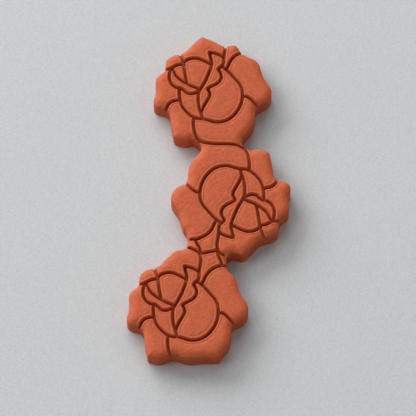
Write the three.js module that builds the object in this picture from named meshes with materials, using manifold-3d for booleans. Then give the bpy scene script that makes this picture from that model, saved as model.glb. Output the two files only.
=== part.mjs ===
// A polymer clay cut-out of three rose heads joined in a chain, lying face up.
// The middle rose is the top one turned half round, and the last repeats the first.
// One flat clay base carries the petals, which the impressed lines divide from each
// other, and a rounded shoulder runs round the whole outline.
// Millimetres, +Z up, +Y along the chain, origin under the middle of the outline.

import * as THREE from 'three';
import Module from 'manifold-3d';
import { mergeVertices } from 'three/addons/utils/BufferGeometryUtils.js';

const wasm = await Module();
wasm.setup();

// Driving dimensions
const ROSE_WIDTH = 17.2;
const CLAY_THICKNESS = 3;
const LINE_DEPTH = 1.0;
const LINE_WIDTH = 0.6;
const LINE_FLOOR_WIDTH = 0.32;
const SHOULDER_WIDTH = 1.3;
const SHOULDER_DROP = 0.4;

// How far a cut runs past what it cuts
const CUT_OVERRUN = 0.1;

// How finely the curves are stepped, as shares of the rose width
const LINE_STEP_SHARE = 0.035;
const RIM_STEP_SHARE = 0.042;
const LINE_END_SIDES = 12;

// Corners of a cut piece nearer to each other than this become one
const WELD_DISTANCE = 0.004;

// The shoulder's section: across as a share of its width, down as a share of its drop
const SHOULDER_SHARES = [[0, 1], [0.35, 0.36], [1, 0]];

// Where each rose sits, as shares of the rose width, and which way up it is
const ROSES = {
  top: { middleShares: [-0.1812, 0.9967], turn: 1 },
  middle: { middleShares: [0, 0], turn: -1 },
  bottom: { middleShares: [-0.3876, -0.9925], turn: 1 },
};

// Outline of a rose, clockwise, as shares of its width from its middle. Each run of it is
// a smooth curve that starts at a corner and ends at the first point of the next run.
const LOWER_LEFT_FOOT_SHARES = [[-0.129, -0.457], [-0.156, -0.444], [-0.199, -0.456], [-0.265, -0.446]];
const LOWER_LEFT_SIDE_SHARES = [[-0.308, -0.425], [-0.324, -0.355], [-0.336, -0.270], [-0.344, -0.212]];
const LEFT_PETAL_SHARES = [[-0.378, -0.170], [-0.392, -0.163], [-0.438, -0.156], [-0.477, -0.125],
  [-0.484, -0.087], [-0.471, -0.041], [-0.463, 0.009], [-0.468, 0.085],
  [-0.462, 0.126], [-0.435, 0.158], [-0.403, 0.184]];
const UPPER_LEFT_PETAL_SHARES = [[-0.387, 0.213], [-0.381, 0.275], [-0.371, 0.311], [-0.322, 0.340],
  [-0.279, 0.359]];
const TOP_PETAL_SHARES = [[-0.261, 0.361], [-0.216, 0.383], [-0.171, 0.435], [-0.127, 0.478],
  [-0.103, 0.506]];
const TOP_PETAL_FREE_SHARES = [[-0.074, 0.527], [-0.046, 0.514], [0.003, 0.493], [0.054, 0.466],
  [0.097, 0.440]];
const TOP_PETAL_JOINED_SHARES = [[-0.074, 0.519], [-0.040, 0.505], [0.001, 0.497]];
const TOP_RIGHT_PETAL_FREE_SHARES = [[0.121, 0.432], [0.135, 0.434], [0.179, 0.445], [0.216, 0.443],
  [0.232, 0.417]];
const RIGHT_PETAL_FREE_SHARES = [[0.263, 0.369], [0.277, 0.357], [0.334, 0.324], [0.389, 0.291]];
const RIGHT_PETAL_SHARES = [[0.410, 0.260], [0.425, 0.209], [0.444, 0.140], [0.483, 0.075],
  [0.509, 0.025], [0.513, -0.020], [0.497, -0.063], [0.465, -0.102], [0.424, -0.125]];
const LOWER_PETAL_SHARES = [[0.392, -0.143], [0.377, -0.161], [0.373, -0.230], [0.359, -0.305],
  [0.326, -0.361], [0.284, -0.414], [0.262, -0.450]];
const JOIN_CORNER_SHARES = [[0.262, -0.492]];
const LOWER_PETAL_FOOT_SHARES = [[0.251, -0.437], [0.200, -0.437], [0.131, -0.439], [0.058, -0.447],
  [0.018, -0.447], [-0.023, -0.437], [-0.056, -0.421], [-0.089, -0.409],
  [-0.122, -0.412], [-0.163, -0.432], [-0.195, -0.446], [-0.240, -0.446]];

// The two sides of the neck between the middle and bottom roses: the right one in the
// bottom rose's shares, the left one in the middle rose's.
const RIGHT_NECK_SHARES = [[0.346, 0.471], [0.336, 0.451], [0.333, 0.430], [0.338, 0.403],
  [0.336, 0.371], [0.342, 0.347], [0.357, 0.325], [0.387, 0.295]];
const LEFT_NECK_SHARES = [[0.421, 0.467], [0.397, 0.457], [0.380, 0.439], [0.372, 0.416],
  [0.370, 0.393], [0.371, 0.350], [0.377, 0.310], [0.390, 0.286]];

// Middles of the impressed lines that every rose has, in the same shares
const LINE_SHARES = [
  // bud, top arc
  [[-0.231, 0.266], [-0.216, 0.282], [-0.200, 0.294], [-0.163, 0.307], [-0.120, 0.309],
    [-0.074, 0.294], [-0.038, 0.275], [0.009, 0.248]],
  // small upper left petal, right side, and on down the left side of the bud
  [[-0.263, 0.368], [-0.247, 0.317], [-0.235, 0.285], [-0.227, 0.253], [-0.219, 0.185],
    [-0.208, 0.114], [-0.199, 0.069]],
  // small upper left petal, underside
  [[-0.400, 0.212], [-0.356, 0.212], [-0.335, 0.217], [-0.313, 0.228], [-0.288, 0.242],
    [-0.263, 0.250], [-0.228, 0.250]],
  // leaf left of the bud, underside, and on under the bud
  [[-0.327, 0.215], [-0.306, 0.175], [-0.292, 0.144], [-0.270, 0.119], [-0.224, 0.082],
    [-0.174, 0.051], [-0.120, 0.028], [-0.097, 0.016]],
  // left petal, upper right side, and on under the sepal
  [[-0.337, 0.216], [-0.345, 0.175], [-0.350, 0.137], [-0.345, 0.100], [-0.335, 0.075],
    [-0.319, 0.053], [-0.299, 0.037], [-0.278, 0.028], [-0.256, 0.025], [-0.242, 0.019],
    [-0.228, 0.007], [-0.206, -0.017], [-0.188, -0.026], [-0.170, -0.029],
    [-0.149, -0.026], [-0.127, -0.018], [-0.098, -0.003]],
  // left petal, lower right side
  [[-0.262, 0.024], [-0.263, -0.016], [-0.261, -0.055], [-0.255, -0.092]],
  // left petal, underside
  [[-0.392, -0.200], [-0.377, -0.170], [-0.366, -0.144], [-0.352, -0.123],
    [-0.334, -0.107], [-0.313, -0.096], [-0.291, -0.091], [-0.255, -0.088]],
  // the round line under and right of the heart of the rose
  [[-0.256, -0.088], [-0.238, -0.148], [-0.202, -0.198], [-0.159, -0.239],
    [-0.120, -0.260], [-0.072, -0.265], [-0.034, -0.272], [0.031, -0.293],
    [0.103, -0.289], [0.160, -0.262], [0.210, -0.212], [0.246, -0.151], [0.264, -0.094],
    [0.270, -0.037], [0.265, 0.020], [0.242, 0.071], [0.206, 0.117], [0.171, 0.160],
    [0.130, 0.203], [0.091, 0.231]],
  // flame, upper edge of its knob
  [[0.113, 0.312], [0.096, 0.328], [0.064, 0.346], [0.017, 0.362], [-0.010, 0.366]],
  // flame, left side
  [[-0.010, 0.366], [0.003, 0.310], [0.012, 0.264], [0.003, 0.217], [-0.015, 0.167],
    [-0.033, 0.117], [-0.059, 0.064], [-0.086, 0.017], [-0.102, -0.023],
    [-0.104, -0.080], [-0.100, -0.134], [-0.088, -0.187], [-0.072, -0.237],
    [-0.068, -0.264]],
  // flame, right side of its knob
  [[0.112, 0.274], [0.110, 0.256], [0.103, 0.242], [0.085, 0.228], [0.064, 0.204]],
  // flame, right side of its belly
  [[0.064, 0.204], [0.083, 0.174], [0.091, 0.153], [0.091, 0.131], [0.087, 0.110],
    [0.074, 0.089], [0.056, 0.071], [0.014, 0.046], [-0.008, 0.035], [-0.026, 0.020]],
  // flame, right side of its lower leaf
  [[-0.026, 0.020], [-0.011, -0.008], [-0.003, -0.026], [-0.006, -0.044],
    [-0.020, -0.076], [-0.049, -0.130], [-0.063, -0.159], [-0.073, -0.185],
    [-0.080, -0.213]],
  // right petal, underside
  [[0.270, -0.050], [0.292, -0.050], [0.310, -0.057], [0.346, -0.087], [0.364, -0.107],
    [0.381, -0.125], [0.404, -0.152]],
  // small top right petal, left side
  [[0.112, 0.274], [0.112, 0.317], [0.115, 0.346], [0.124, 0.392], [0.126, 0.414]],
  // small top right petal, right side
  [[0.129, 0.204], [0.146, 0.231], [0.164, 0.274], [0.178, 0.299], [0.196, 0.321],
    [0.217, 0.340], [0.239, 0.354], [0.256, 0.362]],
  // pointed lower left petal, right side
  [[-0.141, -0.254], [-0.144, -0.312], [-0.138, -0.366], [-0.124, -0.419],
    [-0.109, -0.446]],
];

// Lines that only some roses have, in the shares of the rose named
const EXTRA_LINE_SHARES = [
  // the top rose's small petal meets the outline
  ['top', [[0.126, 0.414], [0.127, 0.445]]],
  ['top', [[0.256, 0.362], [0.282, 0.370]]],
  // top and middle roses: the line between them, and its mouths on both sides
  ['top', [[-0.109, -0.446], [-0.091, -0.462], [-0.066, -0.478], [-0.041, -0.487],
    [0.016, -0.496], [0.0906, -0.4983]]],
  ['middle', [[-0.109, -0.446], [-0.091, -0.462], [-0.066, -0.478], [-0.041, -0.487],
    [0.016, -0.496], [0.0906, -0.4983]]],
  ['top', [[-0.085, -0.467], [-0.130, -0.490]]],
  ['middle', [[-0.085, -0.467], [-0.130, -0.490]]],
  // middle and bottom roses: the line between them
  ['middle', [[0.126, 0.483], [0.160, 0.489], [0.1938, 0.4962], [0.228, 0.503],
    [0.262, 0.509]]],
  // middle and bottom roses: the outer sides of their small petals
  ['middle', [[0.262, 0.507], [0.269, 0.471], [0.276, 0.449], [0.287, 0.428],
    [0.303, 0.402], [0.312, 0.381]]],
  ['bottom', [[0.262, 0.507], [0.269, 0.471], [0.276, 0.449], [0.287, 0.428],
    [0.303, 0.376]]],
  // middle and bottom roses: the lower sides of their small petals, out to the neck
  ['middle', [[0.256, 0.362], [0.281, 0.375], [0.303, 0.379], [0.346, 0.377],
    [0.400, 0.372]]],
  ['bottom', [[0.256, 0.362], [0.274, 0.367], [0.303, 0.374], [0.350, 0.377]]],
  // middle and bottom roses: the ends of their top petals
  ['middle', [[0.126, 0.414], [0.127, 0.450], [0.120, 0.478], [0.110, 0.496],
    [0.096, 0.508], [0.078, 0.521], [0.045, 0.540]]],
  ['bottom', [[0.126, 0.414], [0.125, 0.445], [0.118, 0.471], [0.110, 0.489],
    [0.099, 0.502], [0.078, 0.513], [0.049, 0.528], [0.031, 0.538], [-0.020, 0.560]]],
];

// A point inside each raised piece of a rose, which gives the piece its name
const PIECE_SHARES = [
  ['top_petal', [-0.100, 0.400]],
  ['small_upper_left_petal', [-0.310, 0.280]],
  ['left_petal', [-0.400, 0.000]],
  ['pointed_lower_left_petal', [-0.230, -0.320]],
  ['lower_petal', [0.200, -0.360]],
  ['right_petal', [0.350, 0.100]],
  ['small_upper_right_petal', [0.165, 0.370]],
  ['bud', [-0.110, 0.180]],
  ['bud_leaf', [-0.260, 0.180]],
  ['sepal', [-0.240, 0.050]],
  ['flame', [0.030, 0.130]],
  ['inner_left_petal', [-0.180, -0.120]],
  ['inner_right_petal', [0.120, -0.100]],
];

// The two slips of clay in the neck between the middle and bottom roses
const NECK_PIECE_SHARES = [
  ['neck_slip_left', 'middle', [0.335, 0.415]],
  ['neck_slip_right', 'bottom', [0.305, 0.430]],
];

const LINE_FLOOR = CLAY_THICKNESS - LINE_DEPTH;
const LINE_SLOPE = (LINE_WIDTH - LINE_FLOOR_WIDTH) / LINE_DEPTH;

// A share of the rose width, in one rose's own frame, as a point of the whole chain
function placed([across, along], rose) {
  const { middleShares, turn } = ROSES[rose];
  const x = (middleShares[0] + turn * across) * ROSE_WIDTH;
  const y = (middleShares[1] + turn * along) * ROSE_WIDTH;
  return new THREE.Vector2(x, y);
}

// Evenly stepped points of a smooth curve through the given ones
function smoothed(points, stepShare) {
  if (points.length < 3) return points;
  const knots = points.map((p) => new THREE.Vector3(p.x, p.y, 0));
  const curve = new THREE.CatmullRomCurve3(knots, false, 'centripetal');
  const count = Math.max(2, Math.round(curve.getLength() / (stepShare * ROSE_WIDTH)));
  return curve.getSpacedPoints(count).map((p) => new THREE.Vector2(p.x, p.y));
}

// The whole outline, anticlockwise, with its corners kept sharp
function chainOutline() {
  const runsOf = (rose, tables) => tables.map((table) => table.map((share) => placed(share, rose)));
  const leftSide = [LOWER_LEFT_SIDE_SHARES, LEFT_PETAL_SHARES, UPPER_LEFT_PETAL_SHARES,
    TOP_PETAL_SHARES];
  const freeTop = [TOP_PETAL_FREE_SHARES, TOP_RIGHT_PETAL_FREE_SHARES, RIGHT_PETAL_FREE_SHARES];
  const rightSide = [RIGHT_PETAL_SHARES, LOWER_PETAL_SHARES];
  const runs = [
    ...runsOf('top', [LOWER_LEFT_FOOT_SHARES, ...leftSide, ...freeTop]),
    ...runsOf('top', [...rightSide, JOIN_CORNER_SHARES]),
    ...runsOf('middle', [LOWER_LEFT_FOOT_SHARES, ...leftSide, TOP_PETAL_JOINED_SHARES]),
    ...runsOf('bottom', [RIGHT_NECK_SHARES, ...rightSide, LOWER_PETAL_FOOT_SHARES]),
    ...runsOf('bottom', [...leftSide, TOP_PETAL_JOINED_SHARES.slice(0, 1)]),
    ...runsOf('middle', [LEFT_NECK_SHARES, ...rightSide, JOIN_CORNER_SHARES]),
  ];
  const outline = runs.flatMap((points, i) => {
    const next = runs[(i + 1) % runs.length][0];
    return smoothed([...points, next], RIM_STEP_SHARE).slice(0, -1);
  });
  return outline.reverse();
}

// A closed geometry from vertices and faces given by hand
function geometryOf(vertices, faces) {
  const geometry = new THREE.BufferGeometry();
  geometry.setAttribute('position', new THREE.Float32BufferAttribute(vertices.flat(), 3));
  geometry.setIndex(faces.flat());
  return geometry;
}

function solidOf(geometry) {
  geometry.deleteAttribute('normal');
  geometry.deleteAttribute('uv');
  const merged = mergeVertices(geometry);
  const mesh = new wasm.Mesh({
    numProp: 3,
    vertProperties: new Float32Array(merged.attributes.position.array),
    triVerts: new Uint32Array(merged.index.array),
  });
  return new wasm.Manifold(mesh);
}

// Joins many solids pair by pair, so that none grows large early
function joined(solids) {
  let rest = solids;
  while (rest.length > 1) {
    const pairs = [];
    for (let i = 0; i < rest.length; i += 2) {
      pairs.push(i + 1 < rest.length ? rest[i].add(rest[i + 1]) : rest[i]);
    }
    rest = pairs;
  }
  return rest[0];
}

function slab(outline, bottom, top) {
  const options = { depth: top - bottom, bevelEnabled: false };
  return new THREE.ExtrudeGeometry(new THREE.Shape(outline), options).translate(0, 0, bottom);
}

// Half the width of an impressed line at a height
const lineHalfWidth = (z) => (LINE_FLOOR_WIDTH + LINE_SLOPE * (z - LINE_FLOOR)) / 2;

// The cutter of one impressed line: a mitred strip with sloping sides and round ends
function lineCutter(points) {
  const low = LINE_FLOOR - CUT_OVERRUN;
  const high = CLAY_THICKNESS + CUT_OVERRUN;
  const vertices = [];
  const faces = [];
  const stepTo = (i) => points[i].clone().sub(points[i - 1]).normalize();
  points.forEach((point, i) => {
    const arriving = stepTo(Math.max(i, 1));
    const leaving = stepTo(Math.min(i + 1, points.length - 1));
    const side = new THREE.Vector2(-arriving.y - leaving.y, arriving.x + leaving.x).normalize();
    const stretch = 1 / side.dot(new THREE.Vector2(-leaving.y, leaving.x));
    for (const [z, sign] of [[low, 1], [low, -1], [high, -1], [high, 1]]) {
      const reach = sign * lineHalfWidth(z) * stretch;
      vertices.push([point.x + side.x * reach, point.y + side.y * reach, z]);
    }
  });
  for (let i = 0; i + 1 < points.length; i += 1) {
    for (let k = 0; k < 4; k += 1) {
      const a = 4 * i + k;
      const b = 4 * i + ((k + 1) % 4);
      faces.push([a, b + 4, b], [a, a + 4, b + 4]);
    }
  }
  const last = 4 * (points.length - 1);
  faces.push([0, 1, 2], [0, 2, 3], [last, last + 2, last + 1], [last, last + 3, last + 2]);
  const strip = solidOf(geometryOf(vertices, faces));
  const ends = [points[0], points[points.length - 1]].map((end) => {
    const radii = [lineHalfWidth(high), lineHalfWidth(low)];
    const cone = new THREE.CylinderGeometry(...radii, high - low, LINE_END_SIDES);
    cone.rotateX(Math.PI / 2).translate(end.x, end.y, (low + high) / 2);
    return solidOf(cone);
  });
  return joined([strip, ...ends]);
}

// The cutters that leave a sloping shoulder along the outline: for each slope, a wedge
// along every side. Where the outline turns inwards, two wedges meet in a mitre.
function shoulderCutters(outline) {
  const sides = outline.map((point, i) => inwardNormal(point, outline[(i + 1) % outline.length]));
  const inward = (i) => sides[(i + sides.length) % sides.length];
  const cutters = [];
  for (let k = 0; k + 1 < SHOULDER_SHARES.length; k += 1) {
    const [[across, down], [nextAcross, nextDown]] = SHOULDER_SHARES.slice(k, k + 2);
    const slope = ((down - nextDown) * SHOULDER_DROP) / ((nextAcross - across) * SHOULDER_WIDTH);
    const crest = CLAY_THICKNESS + CUT_OVERRUN;
    const rim = CLAY_THICKNESS - down * SHOULDER_DROP - slope * across * SHOULDER_WIDTH;
    const reach = (crest - rim) / slope;
    outline.forEach((point, i) => {
      const next = outline[(i + 1) % outline.length];
      const ends = [[point, endDirection(inward(i), inward(i - 1), inward(i - 1).cross(inward(i)))],
        [next, endDirection(inward(i), inward(i + 1), inward(i).cross(inward(i + 1)))]];
      const vertices = ends.flatMap(([end, way]) => [
        [end.x - way.x * CUT_OVERRUN, end.y - way.y * CUT_OVERRUN, rim - slope * CUT_OVERRUN],
        [end.x + way.x * reach, end.y + way.y * reach, crest],
        [end.x - way.x * CUT_OVERRUN, end.y - way.y * CUT_OVERRUN, crest],
      ]);
      const faces = [[0, 2, 1], [3, 4, 5], [0, 4, 3], [0, 1, 4], [1, 5, 4], [1, 2, 5],
        [2, 3, 5], [2, 0, 3]];
      cutters.push(solidOf(geometryOf(vertices, faces)));
    });
  }
  return cutters;
}

// The way in from a corner: square to the side, or along the mitre where the outline
// turns inwards there
function endDirection(own, other, turn) {
  if (turn >= 0) return own;
  return own.clone().add(other).divideScalar(1 + own.dot(other));
}

// The inward side of a step of an anticlockwise outline
function inwardNormal(from, to) {
  const along = to.clone().sub(from).normalize();
  return new THREE.Vector2(-along.y, along.x);
}

// Where each item's chain of parents ends
function rootOf(parent, item) {
  let root = item;
  while (parent[root] !== root) root = parent[root];
  return root;
}

// The separate bodies of a cut solid, each as its own geometry
function separated(solid) {
  const { vertProperties, triVerts } = solid.getMesh();
  const parent = Array.from({ length: vertProperties.length / 3 }, (_, i) => i);
  for (let t = 0; t < triVerts.length; t += 3) {
    const roots = [0, 1, 2].map((k) => rootOf(parent, triVerts[t + k]));
    roots.forEach((root) => { parent[root] = Math.min(...roots); });
  }
  const bodies = new Map();
  for (let t = 0; t < triVerts.length; t += 3) {
    const root = rootOf(parent, triVerts[t]);
    if (!bodies.has(root)) bodies.set(root, []);
    bodies.get(root).push([...triVerts.subarray(t, t + 3)]);
  }
  const point = (v) => new THREE.Vector3().fromArray(vertProperties, 3 * v);
  return [...bodies.values()].map((faces) => welded(faces, point));
}

// A body's geometry with the corners that lie within the weld distance drawn together,
// and without the slivers that this closes
function welded(faces, point) {
  const corners = [...new Set(faces.flat())].sort((a, b) => point(a).z - point(b).z);
  const kept = [];
  const standIn = new Map();
  for (const corner of corners) {
    const near = kept.find((other) => point(other).distanceTo(point(corner)) < WELD_DISTANCE);
    if (near === undefined) kept.push(corner);
    standIn.set(corner, near ?? corner);
  }
  const drawn = faces.map((face) => face.map((corner) => standIn.get(corner)))
    .filter((face) => new Set(face).size === 3);
  const key = (face) => [...face].sort((a, b) => a - b).join();
  const counts = new Map();
  drawn.forEach((face) => counts.set(key(face), (counts.get(key(face)) ?? 0) + 1));
  const whole = drawn.filter((face) => counts.get(key(face)) === 1);
  const positions = whole.flat().flatMap((corner) => point(corner).toArray());
  const geometry = new THREE.BufferGeometry();
  geometry.setAttribute('position', new THREE.Float32BufferAttribute(positions, 3));
  return geometry;
}

// Whether a geometry's underside covers a point of the plan
function covers(geometry, point) {
  const { array } = geometry.attributes.position;
  const corner = (i) => new THREE.Vector3(array[3 * i], array[3 * i + 1], 0);
  const target = new THREE.Vector3(point.x, point.y, 0);
  for (let i = 0; 3 * i < array.length; i += 3) {
    const [a, b, c] = [corner(i), corner(i + 1), corner(i + 2)];
    const facing = b.clone().sub(a).cross(c.clone().sub(a)).z;
    if (facing < 0 && THREE.Triangle.containsPoint(target, a, b, c)) return true;
  }
  return false;
}

const chainEdge = chainOutline();
const centre = new THREE.Box2().setFromPoints(chainEdge).getCenter(new THREE.Vector2());

const clay = new THREE.MeshStandardMaterial({ color: 0xbe5f3f, roughness: 0.75, metalness: 0 });

const part = new THREE.Group();
const chain = new THREE.Group();
chain.position.set(-centre.x, -centre.y, 0);
part.add(chain);

function addPiece(name, geometry) {
  const flat = geometry.index ? geometry.toNonIndexed() : geometry;
  flat.deleteAttribute('uv');
  flat.computeVertexNormals();
  const mesh = new THREE.Mesh(flat, clay.clone());
  mesh.name = name;
  chain.add(mesh);
}

addPiece('clay_base', slab(chainEdge, 0, LINE_FLOOR));

// The raised layer, shouldered and divided by the lines
const roses = Object.keys(ROSES);
const lines = [
  ...roses.flatMap((rose) => LINE_SHARES.map((shares) => [rose, shares])),
  ...EXTRA_LINE_SHARES,
];
const lineCutters = lines.map(([rose, shares]) => {
  const middles = shares.map((share) => placed(share, rose));
  return lineCutter(smoothed(middles, LINE_STEP_SHARE));
});
const layer = solidOf(slab(chainEdge, LINE_FLOOR, CLAY_THICKNESS))
  .subtract(joined(shoulderCutters(chainEdge)))
  .subtract(joined(lineCutters));
const bodies = separated(layer);

const pieces = [
  ...roses.flatMap((rose) => PIECE_SHARES
    .map(([name, share]) => [`${rose}_rose_${name}`, placed(share, rose)])),
  ...NECK_PIECE_SHARES.map(([name, rose, share]) => [name, placed(share, rose)]),
];
for (const [name, inside] of pieces) {
  addPiece(name, bodies.find((body) => covers(body, inside)));
}

export default part;
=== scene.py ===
"""A polymer clay cut-out of three roses in a chain, lying on a pale floor.

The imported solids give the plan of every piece: its foot on the slab and the outline of the
whole chain. Each raised petal is rebuilt from that plan as a fine height field, with the
soft pressed edges, lips and shoulder of real clay.

Lengths are in millimetres in the frame's own axes, and MM turns them into metres.
"""

import math

import bpy
import numpy as np
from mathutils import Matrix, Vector
from mathutils.geometry import delaunay_2d_cdt
from mathutils.noise import fractal


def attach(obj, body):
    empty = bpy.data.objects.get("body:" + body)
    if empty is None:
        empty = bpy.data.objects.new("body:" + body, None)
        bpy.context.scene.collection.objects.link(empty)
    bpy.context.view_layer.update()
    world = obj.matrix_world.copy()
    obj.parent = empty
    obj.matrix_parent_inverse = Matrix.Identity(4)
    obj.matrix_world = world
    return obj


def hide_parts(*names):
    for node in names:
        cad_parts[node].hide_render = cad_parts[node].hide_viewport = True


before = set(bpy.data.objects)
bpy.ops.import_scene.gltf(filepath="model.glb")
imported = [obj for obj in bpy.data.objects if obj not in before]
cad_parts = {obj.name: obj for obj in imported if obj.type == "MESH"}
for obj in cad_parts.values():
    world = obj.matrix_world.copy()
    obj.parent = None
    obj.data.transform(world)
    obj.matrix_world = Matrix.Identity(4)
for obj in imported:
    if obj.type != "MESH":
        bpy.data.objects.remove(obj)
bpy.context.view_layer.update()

MM = 0.001

# Sizes of the clay
BASE_TOP = 2.0
CLAY_TOP = 2.985
SHOULDER_WIDTH = 1.3
SHOULDER_DROP = 0.42
SHOULDER_POWER = 2.2
EDGE_RADIUS = 0.13
FOOT_RADIUS = 0.08
FOOT_STEPS = 4

# The section of a petal's edge along a line: distance from its foot, height over its face.
# It rises steeply from the line's floor, turns over into a low lip and dips behind it.
EDGE_SECTION = [
    (0.000, BASE_TOP - CLAY_TOP), (0.015, -0.720), (0.028, -0.440), (0.040, -0.240),
    (0.055, -0.165), (0.075, -0.130), (0.100, -0.099), (0.130, -0.070), (0.160, -0.047),
    (0.190, -0.031), (0.220, -0.023), (0.245, -0.021), (0.270, -0.024), (0.300, -0.033),
    (0.335, -0.043), (0.370, -0.050), (0.410, -0.052), (0.460, -0.047), (0.540, -0.030),
    (0.630, -0.014), (0.730, -0.004), (0.820, 0.000),
]
SECTION_SPACING = 0.004

# The slow swell of the face, as waves with two slopes and a phase each, and its mottled
# relief. Both fade out towards the rim, over the width of the margin.
SWELL_HEIGHT = 0.010
SWELL_WAVES = [
    (1.3, 0.7, 0.4), (-0.8, 1.9, 2.1), (2.4, -1.1, 4.4), (0.5, 2.8, 1.2), (3.1, 1.6, 5.3),
]
SWELL_MARGIN = 1.0
MOTTLE_HEIGHT = 0.006
MOTTLE_SIZE = 0.75
MOTTLE_FADE = 0.8
MOTTLE_STEP = 2.0
MOTTLE_OCTAVES = 2

# Lines that end short of the rim: the end of the line's floor, and where it would meet the rim
MOUTHS = [
    ((-2.62, -7.203), (-3.030, -7.165)),
    ((-2.88, -8.500), (-3.276, -8.330)),
    ((2.08, -9.730), (2.516, -9.981)),
]
LINE_FLOOR_WIDTH = 0.32
MOUTH_REACH_SHARE = 1.5
CAP_ANGLES = np.radians([0, 30, 60, 90])

# How finely the clay is meshed
RIM_SPACING = 0.10
EDGE_SPACING = 0.09
GRID_SPACING = 0.13
LINE_RINGS = [
    0.015, 0.028, 0.04, 0.055, 0.075, 0.10, 0.13, 0.16, 0.19, 0.22, 0.25, 0.28, 0.31, 0.35,
    0.40, 0.47, 0.56, 0.66,
]
RIM_RINGS = [0.02, 0.05, 0.09, 0.14, 0.22, 0.32]
GRID_CLEARANCE = 0.07
LEAST_SPACING = 0.012
CRUMB_SPACING = 0.05
CLEAR_SHARE = 0.93
DENSE_STEPS = 4

# What counts as a corner, and how far corners are softened
CORNER_ANGLE = math.radians(34)
ROUNDING = 0.09
ROUNDING_REACH = 3
SHARP_ANGLE = math.radians(50)

# How near two places count as one
LEVEL_TOLERANCE = 0.001
PLACE_DECIMALS = 4
RIM_TOLERANCE = 0.012
MOUTH_TOLERANCE = 0.03
MERGE_DISTANCE = 1e-5
TINY = 1e-12

# How many points are measured at a time, and the kind of mesh that fills a loop to its edge
DISTANCE_BLOCK = 512
TRIANGLES_INSIDE = 1

# Looks: sizes and heights of the noise, and colours at places along it
NOISE_TURN = (0.6, 0.4, 0.9)
CLAY_PATCH_SIZE = 0.60
CLAY_SCREEN_SHADES = [
    (0.30, (0.675, 0.313, 0.187)),
    (0.50, (0.731, 0.351, 0.214)),
    (0.70, (0.782, 0.388, 0.243)),
]
CLAY_DIMPLE_SIZE = 0.75
CLAY_DIMPLE_HEIGHT = 0.040
CLAY_GRAIN_SIZE = 0.24
CLAY_GRAIN_HEIGHT = 0.056
CLAY_ROUGHNESS = 0.72
CLAY_SPECULAR = 0.2
FLOOR_PATCH_SIZE = 0.30
FLOOR_SHADES = [(0.3, (0.480, 0.490, 0.500)), (0.7, (0.580, 0.590, 0.600))]
FLOOR_GRAIN_SIZE = 0.30
FLOOR_GRAIN_HEIGHT = 0.027
FLOOR_ROUGHNESS = 0.9
FLOOR_SPECULAR = 0.1
FLOOR_HALF = 400

# The camera, at the photograph's angle and distance
CAMERA_ELEVATION = math.radians(65)
CAMERA_DISTANCE = 485.9
CAMERA_TARGET = (-0.189, -2.408, 3.0)
CAMERA_LENS = 294.23
CAMERA_SENSOR = 36
CAMERA_NEAR = 10
CAMERA_FAR = 5000

# The lamps: name, bearing and height in degrees, width, depth and power
LAMP_DISTANCE = 1200
LAMPS = [
    ("window", 130, 23, 1333, 600, 19.6),
    ("left_fill", 180, 45, 867, 867, 3.9),
    ("back_fill", 90, 45, 867, 867, 4.10),
    ("right_fill", 0, 36, 667, 667, 1.07),
    ("front_fill", 270, 30, 667, 667, 0.70),
]
WORLD_COLOUR = (1, 0.98, 0.95, 1)
WORLD_STRENGTH = 0.19


# Reading the plan


def bottom_loop(node):
    """The outline of a node's lowest face, anticlockwise from above."""
    mesh = node.data
    points = np.array([vertex.co for vertex in mesh.vertices]) / MM
    low = points[:, 2].min()
    numbers = {}
    places = []
    label = []
    for point in points:
        key = tuple(np.round(point, PLACE_DECIMALS))
        if key not in numbers:
            numbers[key] = len(places)
            places.append(point[:2])
        label.append(numbers[key])
    # The face looks down, so its edges run clockwise from above and are followed backwards
    edges = set()
    mesh.calc_loop_triangles()
    for triangle in mesh.loop_triangles:
        if all(points[i][2] < low + LEVEL_TOLERANCE for i in triangle.vertices):
            corners = [label[i] for i in triangle.vertices]
            edges.update(zip(corners, corners[1:] + corners[:1]))
    follow = {b: a for a, b in edges if (b, a) not in edges}
    start = next(iter(follow))
    loop = [start]
    while follow[loop[-1]] != start:
        loop.append(follow[loop[-1]])
    return np.array([places[i] for i in loop])


def segment_distance(points, starts, ends):
    """Distance from each point to the nearest of some line segments."""
    best = np.full(len(points), np.inf)
    for block in range(0, len(points), DISTANCE_BLOCK):
        p = points[block : block + DISTANCE_BLOCK, None, :]
        along = ends - starts
        length = np.maximum((along**2).sum(axis=1), TINY)
        share = ((p - starts) * along).sum(axis=2) / length
        foot = starts + np.clip(share, 0, 1)[:, :, None] * along
        gap = np.sqrt(((p - foot) ** 2).sum(axis=2))
        best[block : block + DISTANCE_BLOCK] = gap.min(axis=1)
    return best


def inside(points, loop):
    """Whether each point lies inside a closed loop."""
    x, y = points[:, 0][:, None], points[:, 1][:, None]
    x0, y0 = loop[:, 0], loop[:, 1]
    x1, y1 = np.roll(x0, -1), np.roll(y0, -1)
    spans = (y0 > y) != (y1 > y)
    rise = np.where(y1 == y0, TINY, y1 - y0)
    crossing = x0 + (y - y0) / rise * (x1 - x0)
    return (spans & (x < crossing)).sum(axis=1) % 2 == 1


def turning(loop):
    """The angle that a closed loop turns by at each of its points."""
    ahead = np.roll(loop, -1, axis=0) - loop
    behind = loop - np.roll(loop, 1, axis=0)
    cross = behind[:, 0] * ahead[:, 1] - behind[:, 1] * ahead[:, 0]
    return np.arctan2(cross, (behind * ahead).sum(axis=1))


def inward_normals(loop):
    """The direction to the left of a closed loop at each of its points."""
    ahead = np.roll(loop, -1, axis=0) - np.roll(loop, 1, axis=0)
    ahead /= np.maximum(np.linalg.norm(ahead, axis=1), TINY)[:, None]
    return np.column_stack([-ahead[:, 1], ahead[:, 0]])


# Smooth curves


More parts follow.
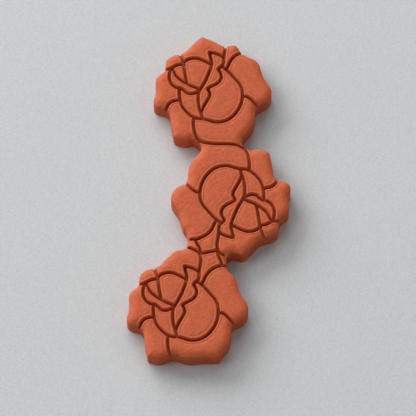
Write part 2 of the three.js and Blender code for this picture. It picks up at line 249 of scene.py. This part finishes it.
def smooth_run(points, spacing):
    """Evenly spaced points of a smooth curve through the given ones, both ends included."""
    gaps = np.linalg.norm(np.diff(points, axis=0), axis=1)
    if len(points) == 2:
        count = max(1, round(gaps[0] / spacing))
        shares = np.linspace(0, 1, count + 1)[:, None]
        return points[0] + shares * (points[1] - points[0])
    slopes = np.diff(points, axis=0) / gaps[:, None]
    tangents = np.empty_like(points)
    before, after = gaps[:-1, None], gaps[1:, None]
    tangents[1:-1] = (slopes[:-1] * after + slopes[1:] * before) / (before + after)
    tangents[0] = (3 * slopes[0] - tangents[1]) / 2
    tangents[-1] = (3 * slopes[-1] - tangents[-2]) / 2
    dense = []
    for i, gap in enumerate(gaps):
        steps = max(2, math.ceil(gap / spacing * DENSE_STEPS))
        t = np.linspace(0, 1, steps, endpoint=False)[:, None]
        dense.append(
            (2 * t**3 - 3 * t**2 + 1) * points[i]
            + (t**3 - 2 * t**2 + t) * gap * tangents[i]
            + (3 * t**2 - 2 * t**3) * points[i + 1]
            + (t**3 - t**2) * gap * tangents[i + 1]
        )
    dense = np.vstack(dense + [points[-1:]])
    travelled = np.concatenate([[0], np.cumsum(np.linalg.norm(np.diff(dense, axis=0), axis=1))])
    count = max(1, round(travelled[-1] / spacing))
    wanted = np.linspace(0, travelled[-1], count + 1)
    return np.column_stack([np.interp(wanted, travelled, dense[:, k]) for k in (0, 1)])


def rounded(points, spacing, closed):
    """Points with their corners softened. The ends of an open run stay."""
    reach = ROUNDING_REACH
    weights = np.exp(-0.5 * (np.arange(-reach, reach + 1) * spacing / ROUNDING) ** 2)
    weights /= weights.sum()
    if closed:
        padded = np.vstack([points[-reach:], points, points[:reach]])
    else:
        head = 2 * points[0] - points[1 : reach + 1][::-1]
        tail = 2 * points[-1] - points[-reach - 1 : -1][::-1]
        if len(head) < reach or len(tail) < reach:
            return points
        padded = np.vstack([head, points, tail])
    soft = sum(weight * padded[i : i + len(points)] for i, weight in enumerate(weights))
    if not closed:
        soft[0], soft[-1] = points[0], points[-1]
    return soft


def without_crumbs(points):
    """A run without the points that lie very near to the one before or to its end."""
    kept = [points[0]]
    for point in points[1:-1]:
        from_last = np.linalg.norm(point - kept[-1])
        from_end = np.linalg.norm(point - points[-1])
        if from_last > CRUMB_SPACING and from_end > CRUMB_SPACING:
            kept.append(point)
    return np.array(kept + [points[-1]])


def smooth_loop(loop, spacing):
    """A closed loop resampled along smooth curves from corner to corner, and softened."""
    corners = np.flatnonzero(np.abs(turning(loop)) > CORNER_ANGLE)
    if len(corners) == 0:
        corners = np.array([0])
    runs = []
    for k, start in enumerate(corners):
        end = corners[(k + 1) % len(corners)]
        count = (end - start) % len(loop) or len(loop)
        run = loop[(start + np.arange(count + 1)) % len(loop)]
        runs.append(smooth_run(without_crumbs(run), spacing)[:-1])
    return rounded(np.vstack(runs), spacing, closed=True)


# The slab's outline, as the solid has it and as a fine smooth rim, and the smooth section

base_loop = bottom_loop(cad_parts["clay_base"])
base_ends = np.roll(base_loop, -1, axis=0)
rim = smooth_loop(base_loop, RIM_SPACING)
rim_ends = np.roll(rim, -1, axis=0)
edge_section = smooth_run(np.array(EDGE_SECTION), SECTION_SPACING)


def on_rim(points):
    """Whether each point lies on the slab's own outline."""
    return segment_distance(points, base_loop, base_ends) < RIM_TOLERANCE


def nearest_rim(point):
    """The number of the fine rim point nearest to a point."""
    return int(np.linalg.norm(rim - point, axis=1).argmin())


# The foot of a petal


def with_closed_mouths(loop):
    """A petal's foot, drawn out to the middle of each line that ends short of the rim.

    The two petals beside such a line meet past its end. Each gives up its corner at the
    mouth for a quarter of the line's round end and a straight run out to the rim.
    """
    radius = LINE_FLOOR_WIDTH / 2
    for tip, outer in np.array(MOUTHS):
        length = np.linalg.norm(outer - tip)
        along = (outer - tip) / length
        left = np.array([-along[1], along[0]])
        run, across = (loop - tip) @ along, (loop - tip) @ left
        rimmed = on_rim(loop)
        near = (np.abs(across) < LINE_FLOOR_WIDTH) & (np.abs(run - length) < LINE_FLOOR_WIDTH)
        corner = rimmed & near
        if not corner.any():
            continue
        side = np.sign(across[corner][0])
        beside = np.abs(across) < radius * MOUTH_REACH_SHARE
        spare = ~rimmed & beside & (run > 0) & (run < length)
        cap = [
            tip + radius * (math.sin(angle) * along + side * math.cos(angle) * left)
            for angle in CAP_ANGLES
        ]
        rim_across = (base_loop - outer) @ left * side
        rim_near = np.linalg.norm(base_loop - outer, axis=1) < radius
        between = base_loop[rim_near & (rim_across > 0) & (rim_across < radius)]
        added = np.vstack([cap, [outer], between])
        first = int(np.flatnonzero(corner)[np.abs(across[corner]).argmin()])
        loop = np.roll(loop, -first, axis=0)[~np.roll(spare, -first)]
        if side > 0:
            loop = np.vstack([loop, added])
        else:
            loop = np.vstack([loop[:1], added[::-1], loop[1:]])
    return loop


def equal_runs(flags):
    """Where each run of equal flags starts and ends, and its flag."""
    cuts = [0, *(np.flatnonzero(flags[1:] != flags[:-1]) + 1), len(flags)]
    return [(start, end, bool(flags[start])) for start, end in zip(cuts, cuts[1:])]


def rim_run(first, last):
    """The fine rim's points from one of its numbers round to another."""
    count = (last - first) % len(rim)
    return rim[(first + np.arange(count + 1)) % len(rim)]


def line_run(piece, is_corner):
    """An open stretch of a foot along lines, smooth between its corners."""
    cuts = [0, *(np.flatnonzero(is_corner) + 1), len(piece) - 1]
    parts = [
        smooth_run(without_crumbs(piece[start : end + 1]), EDGE_SPACING)[:-1]
        for start, end in zip(cuts, cuts[1:])
    ]
    return rounded(np.vstack(parts + [piece[-1:]]), EDGE_SPACING, closed=False)


def pad_loop(node):
    """A petal's foot as a fine closed loop, and whether each step of it has a wall."""
    loop = with_closed_mouths(bottom_loop(node))
    rimmed = on_rim(loop)
    middles = (loop + np.roll(loop, -1, axis=0)) / 2
    rim_step = rimmed & np.roll(rimmed, -1) & on_rim(middles)
    if not rim_step.any():
        fine = smooth_loop(loop, EDGE_SPACING)
        return fine, np.zeros(len(fine), bool)
    # The loop is turned to start where it comes to the rim, so that no run is cut in two
    first = int(np.flatnonzero(rim_step & ~np.roll(rim_step, 1))[0])
    loop, rim_step = np.roll(loop, -first, axis=0), np.roll(rim_step, -first)
    is_corner = np.abs(turning(loop)) > CORNER_ANGLE
    points, flags = [], []
    for start, end, along_rim in equal_runs(rim_step):
        a, b = nearest_rim(loop[start]), nearest_rim(loop[end % len(loop)])
        if along_rim:
            run = rim_run(a, b)
        else:
            piece = np.vstack([rim[a], loop[start + 1 : end], rim[b]])
            run = line_run(piece, is_corner[start + 1 : end])
        points.append(run[:-1])
        flags.append(np.full(len(run) - 1, along_rim))
    fine, walled = np.vstack(points), np.concatenate(flags)
    middles = (fine + np.roll(fine, -1, axis=0)) / 2
    for tip, outer in np.array(MOUTHS):
        end = rim[nearest_rim(outer)]
        start = tip + (end - tip) / np.linalg.norm(end - tip) * LINE_FLOOR_WIDTH / 2
        walled |= segment_distance(middles, start[None], end[None]) < MOUTH_TOLERANCE
    return fine, walled


# The face of a petal


def swell(points):
    """The slow rise and fall of the clay's face, and its fine mottled relief."""
    x, y = points[:, 0], points[:, 1]
    slow = sum(np.sin(a * x + b * y + c) for a, b, c in SWELL_WAVES) / len(SWELL_WAVES)
    places = [Vector((u, v, 0)) / MOTTLE_SIZE for u, v in points]
    fine = [fractal(place, MOTTLE_FADE, MOTTLE_STEP, MOTTLE_OCTAVES) for place in places]
    return SWELL_HEIGHT * slow + MOTTLE_HEIGHT * np.array(fine)


def face_height(points, line_gap):
    """Height of the clay's face over plan points, given their distance to the nearest line."""
    edge = segment_distance(points, rim, rim_ends)
    run = np.clip(1 - edge / SHOULDER_WIDTH, 0, 1)
    height = CLAY_TOP - SHOULDER_DROP * run**SHOULDER_POWER
    turn = np.clip(1 - edge / EDGE_RADIUS, 0, 1)
    height -= EDGE_RADIUS * (1 - np.sqrt(1 - turn**2))
    height += swell(points) * np.clip(edge / SWELL_MARGIN, 0, 1)
    relief = np.interp(line_gap, edge_section[:, 0], edge_section[:, 1])
    depth_share = (height - BASE_TOP) / (CLAY_TOP - BASE_TOP)
    return height + relief * depth_share


def ring_points(loop, chosen, rings):
    """Points set in from the chosen points of a loop by each distance, and those distances."""
    inward = inward_normals(loop)
    made = [loop[chosen] + ring * inward[chosen] for ring in rings]
    gaps = [np.full(len(points), ring) for points, ring in zip(made, rings)]
    return np.vstack(made), np.concatenate(gaps)


def grid_points(loop):
    """Points of an even triangular grid inside a loop."""
    low, high = loop.min(axis=0), loop.max(axis=0)
    rows = np.arange(low[1], high[1], GRID_SPACING * math.sqrt(0.75))
    grid = []
    for k, y in enumerate(rows):
        x = np.arange(low[0] + (k % 2) * GRID_SPACING / 2, high[0], GRID_SPACING)
        grid.append(np.column_stack([x, np.full(len(x), y)]))
    grid = np.vstack(grid)
    return grid[inside(grid, loop)]


def thinned(points):
    """Points with no two in one cell of a fine grid, the earlier ones kept."""
    cells = np.round(points / LEAST_SPACING).astype(int)
    _, first = np.unique(cells, axis=0, return_index=True)
    return points[np.sort(first)]


def inner_points(loop, walled):
    """Plan points inside a loop: rings near its edges and a grid in the middle."""
    ends = np.roll(loop, -1, axis=0)
    grid = grid_points(loop)
    found = []
    for chosen, rings in [(walled, RIM_RINGS), (~walled, LINE_RINGS)]:
        if not chosen.any():
            continue
        points, wanted = ring_points(loop, chosen, rings)
        found.append(points[segment_distance(points, loop, ends) > wanted * CLEAR_SHARE])
        gap = segment_distance(grid, loop[chosen], ends[chosen])
        grid = grid[gap > rings[-1] + GRID_CLEARANCE]
    found = np.vstack(found)
    found = found[inside(found, loop)]
    return np.vstack([thinned(found), grid])


def flat_mesh(loop, points):
    """Triangles over a loop and the points in it, and where the loop's own points went."""
    count = len(loop)
    plan = [Vector(point) for point in np.vstack([loop, points])]
    steps = [(i, (i + 1) % count) for i in range(count)]
    flat, _, triangles, origins, _, _ = delaunay_2d_cdt(
        plan, steps, [list(range(count))], TRIANGLES_INSIDE, MERGE_DISTANCE
    )
    place = {source: made for made, sources in enumerate(origins) for source in sources}
    boundary = [place[i] for i in range(count)]
    return np.array([tuple(point) for point in flat]), triangles, boundary


def new_piece(name, vertices, faces):
    """A smooth shaded mesh object from points in millimetres."""
    mesh = bpy.data.meshes.new(name)
    mesh.from_pydata([tuple(c * MM for c in vertex) for vertex in vertices], [], faces)
    mesh.validate()
    mesh.shade_smooth()
    mesh.set_sharp_from_angle(angle=SHARP_ANGLE)
    piece = bpy.data.objects.new(name, mesh)
    bpy.context.scene.collection.objects.link(piece)
    return piece


def build_pad(name, node):
    """A petal's own mesh: its face, its walls and its flat underside."""
    loop, walled = pad_loop(node)
    count = len(loop)
    flat, triangles, boundary = flat_mesh(loop, inner_points(loop, walled))
    line_gap = np.full(len(flat), EDGE_SECTION[-1][0])
    if not walled.all():
        ends = np.roll(loop, -1, axis=0)
        line_gap = segment_distance(flat, loop[~walled], ends[~walled])
    heights = face_height(flat, line_gap)
    # A point between two walled steps has a wall under it, and any other is at a line's floor
    touches_line = ~walled | ~np.roll(walled, 1)
    for index, touching in zip(boundary, touches_line):
        if touching:
            heights[index] = BASE_TOP
    vertices = [(x, y, z) for (x, y), z in zip(flat, heights)]
    faces = [list(face) for face in triangles]
    under = []
    for index, touching in zip(boundary, touches_line):
        if touching:
            under.append(index)
        else:
            under.append(len(vertices))
            vertices.append((flat[index][0], flat[index][1], BASE_TOP))
    for i in np.flatnonzero(walled):
        j = (i + 1) % count
        ring = [under[i], under[j], boundary[j], boundary[i]]
        faces.append([vertex for k, vertex in enumerate(ring) if vertex not in ring[:k]])
    faces.append(under[::-1])
    return new_piece(name, vertices, faces)


# The slab


def build_base():
    """The slab: a flat top for the floors of the lines, and a wall with a soft foot."""
    count = len(rim)
    inward = inward_normals(rim)
    levels = []
    for k in range(FOOT_STEPS + 1):
        angle = math.pi / 2 * k / FOOT_STEPS
        levels.append((FOOT_RADIUS * (1 - math.sin(angle)), FOOT_RADIUS * (1 - math.cos(angle))))
    levels.append((0, BASE_TOP))
    vertices = []
    for inset, z in levels:
        vertices += [(x, y, z) for x, y in rim + inset * inward]
    faces = []
    for low in range(0, (len(levels) - 1) * count, count):
        high = low + count
        for i in range(count):
            j = (i + 1) % count
            faces.append([low + i, low + j, high + j, high + i])
    faces.append(list(range(count))[::-1])
    faces.append([(len(levels) - 1) * count + i for i in range(count)])
    return new_piece("clay_slab", vertices, faces)


# Materials


def node_of(tree, kind, **inputs):
    """A shader node with the named inputs set."""
    node = tree.nodes.new(kind)
    for key, value in inputs.items():
        node.inputs[key].default_value = value
    return node


def turned_coordinates(tree):
    """Object coordinates turned askew, so that no flat face lies along the noise's own grid."""
    mapping = node_of(tree, "ShaderNodeMapping", Rotation=NOISE_TURN)
    source = tree.nodes.new("ShaderNodeTexCoord").outputs["Object"]
    tree.links.new(source, mapping.inputs["Vector"])
    return mapping.outputs["Vector"]


def noise(tree, coordinates, size, detail=1, roughness=0.55):
    """Noise with features of about the given size."""
    node = node_of(tree, "ShaderNodeTexNoise", Scale=1 / (size * MM), Detail=detail)
    node.inputs["Roughness"].default_value = roughness
    tree.links.new(coordinates, node.inputs["Vector"])
    return node.outputs["Fac"]


def ramp(tree, source, stops):
    """Colours along a noise value."""
    node = tree.nodes.new("ShaderNodeValToRGB")
    tree.links.new(source, node.inputs["Fac"])
    elements = node.color_ramp.elements
    for element, (place, colour) in zip(elements, (stops[0], stops[-1])):
        element.position, element.color = place, (*colour, 1)
    for place, colour in stops[1:-1]:
        elements.new(place).color = (*colour, 1)
    return node.outputs["Color"]


def linear(screen_colour):
    """A colour picked as the screen shows it, as the light that makes it."""
    return tuple(
        c / 12.92 if c <= 0.04045 else ((c + 0.055) / 1.055) ** 2.4 for c in screen_colour
    )


def bumped(tree, source, height, below=None):
    """A bump of the given height, over another bump if there is one."""
    node = node_of(tree, "ShaderNodeBump", Strength=1.0, Distance=height * MM)
    tree.links.new(source, node.inputs["Height"])
    if below:
        tree.links.new(below, node.inputs["Normal"])
    return node.outputs["Normal"]


def clay_material():
    """Matt terracotta clay with a faint speckle, shallow dimples and a fine grain."""
    material = bpy.data.materials.new("clay")
    material.use_nodes = True
    tree = material.node_tree
    shader = tree.nodes["Principled BSDF"]
    where = turned_coordinates(tree)
    patches = noise(tree, where, CLAY_PATCH_SIZE, detail=4, roughness=0.90)
    shades = [(place, linear(colour)) for place, colour in CLAY_SCREEN_SHADES]
    tree.links.new(ramp(tree, patches, shades), shader.inputs["Base Color"])
    dimples = bumped(tree, noise(tree, where, CLAY_DIMPLE_SIZE), CLAY_DIMPLE_HEIGHT)
    fine = noise(tree, where, CLAY_GRAIN_SIZE, roughness=0.6)
    tree.links.new(bumped(tree, fine, CLAY_GRAIN_HEIGHT, dimples), shader.inputs["Normal"])
    shader.inputs["Roughness"].default_value = CLAY_ROUGHNESS
    shader.inputs["Specular IOR Level"].default_value = CLAY_SPECULAR
    return material


def floor_material():
    """A pale grey matt surface with a fine speckle and grain."""
    material = bpy.data.materials.new("floor")
    material.use_nodes = True
    tree = material.node_tree
    shader = tree.nodes["Principled BSDF"]
    where = turned_coordinates(tree)
    patches = noise(tree, where, FLOOR_PATCH_SIZE, detail=2, roughness=0.95)
    tree.links.new(ramp(tree, patches, FLOOR_SHADES), shader.inputs["Base Color"])
    fine = noise(tree, where, FLOOR_GRAIN_SIZE, roughness=0.6)
    tree.links.new(bumped(tree, fine, FLOOR_GRAIN_HEIGHT), shader.inputs["Normal"])
    shader.inputs["Roughness"].default_value = FLOOR_ROUGHNESS
    shader.inputs["Specular IOR Level"].default_value = FLOOR_SPECULAR
    return material


# The pieces of clay

clay = clay_material()
base = build_base()
base.data.materials.append(clay)
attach(base, "root")
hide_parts("clay_base")

for name, node in sorted(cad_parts.items()):
    if name == "clay_base":
        continue
    pad = build_pad(name + "_face", node)
    pad.data.materials.append(clay)
    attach(pad, "root")
    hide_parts(name)


# The floor

half = FLOOR_HALF * MM
mesh = bpy.data.meshes.new("floor")
mesh.from_pydata(
    [(-half, -half, 0), (half, -half, 0), (half, half, 0), (-half, half, 0)], [], [(0, 1, 2, 3)]
)
floor = bpy.data.objects.new("floor", mesh)
bpy.context.scene.collection.objects.link(floor)
floor.data.materials.append(floor_material())


# Camera and light


def facing(thing, azimuth, elevation, target, distance):
    """Put a camera or lamp at a bearing from a point, looking at that point."""
    way = Vector(
        (
            math.cos(azimuth) * math.cos(elevation),
            math.sin(azimuth) * math.cos(elevation),
            math.sin(elevation),
        )
    )
    thing.location = target + way * distance * MM
    thing.rotation_mode = "QUATERNION"
    thing.rotation_quaternion = way.to_track_quat("Z", "Y")


def soft_lamp(name, azimuth, elevation, width, depth, power):
    """A wide lamp that faces the middle of the object, at a bearing from it in degrees."""
    data = bpy.data.lights.new(name, "AREA")
    data.shape = "ELLIPSE"
    data.size = width * MM
    data.size_y = depth * MM
    data.energy = power
    lamp = bpy.data.objects.new(name, data)
    bpy.context.scene.collection.objects.link(lamp)
    turn, rise = math.radians(azimuth), math.radians(elevation)
    facing(lamp, turn, rise, Vector((0, 0, 0)), LAMP_DISTANCE)


camera_data = bpy.data.cameras.new("camera")
camera_data.lens = CAMERA_LENS
camera_data.sensor_width = CAMERA_SENSOR
camera_data.clip_start = CAMERA_NEAR * MM
camera_data.clip_end = CAMERA_FAR * MM
camera = bpy.data.objects.new("camera", camera_data)
bpy.context.scene.collection.objects.link(camera)
facing(camera, math.radians(270), CAMERA_ELEVATION, Vector(CAMERA_TARGET) * MM, CAMERA_DISTANCE)
bpy.context.scene.camera = camera

for lamp in LAMPS:
    soft_lamp(*lamp)

world = bpy.data.worlds.new("world")
world.use_nodes = True
background = world.node_tree.nodes["Background"]
background.inputs["Color"].default_value = WORLD_COLOUR
background.inputs["Strength"].default_value = WORLD_STRENGTH
bpy.context.scene.world = world

bpy.context.scene.view_settings.view_transform = "Standard"
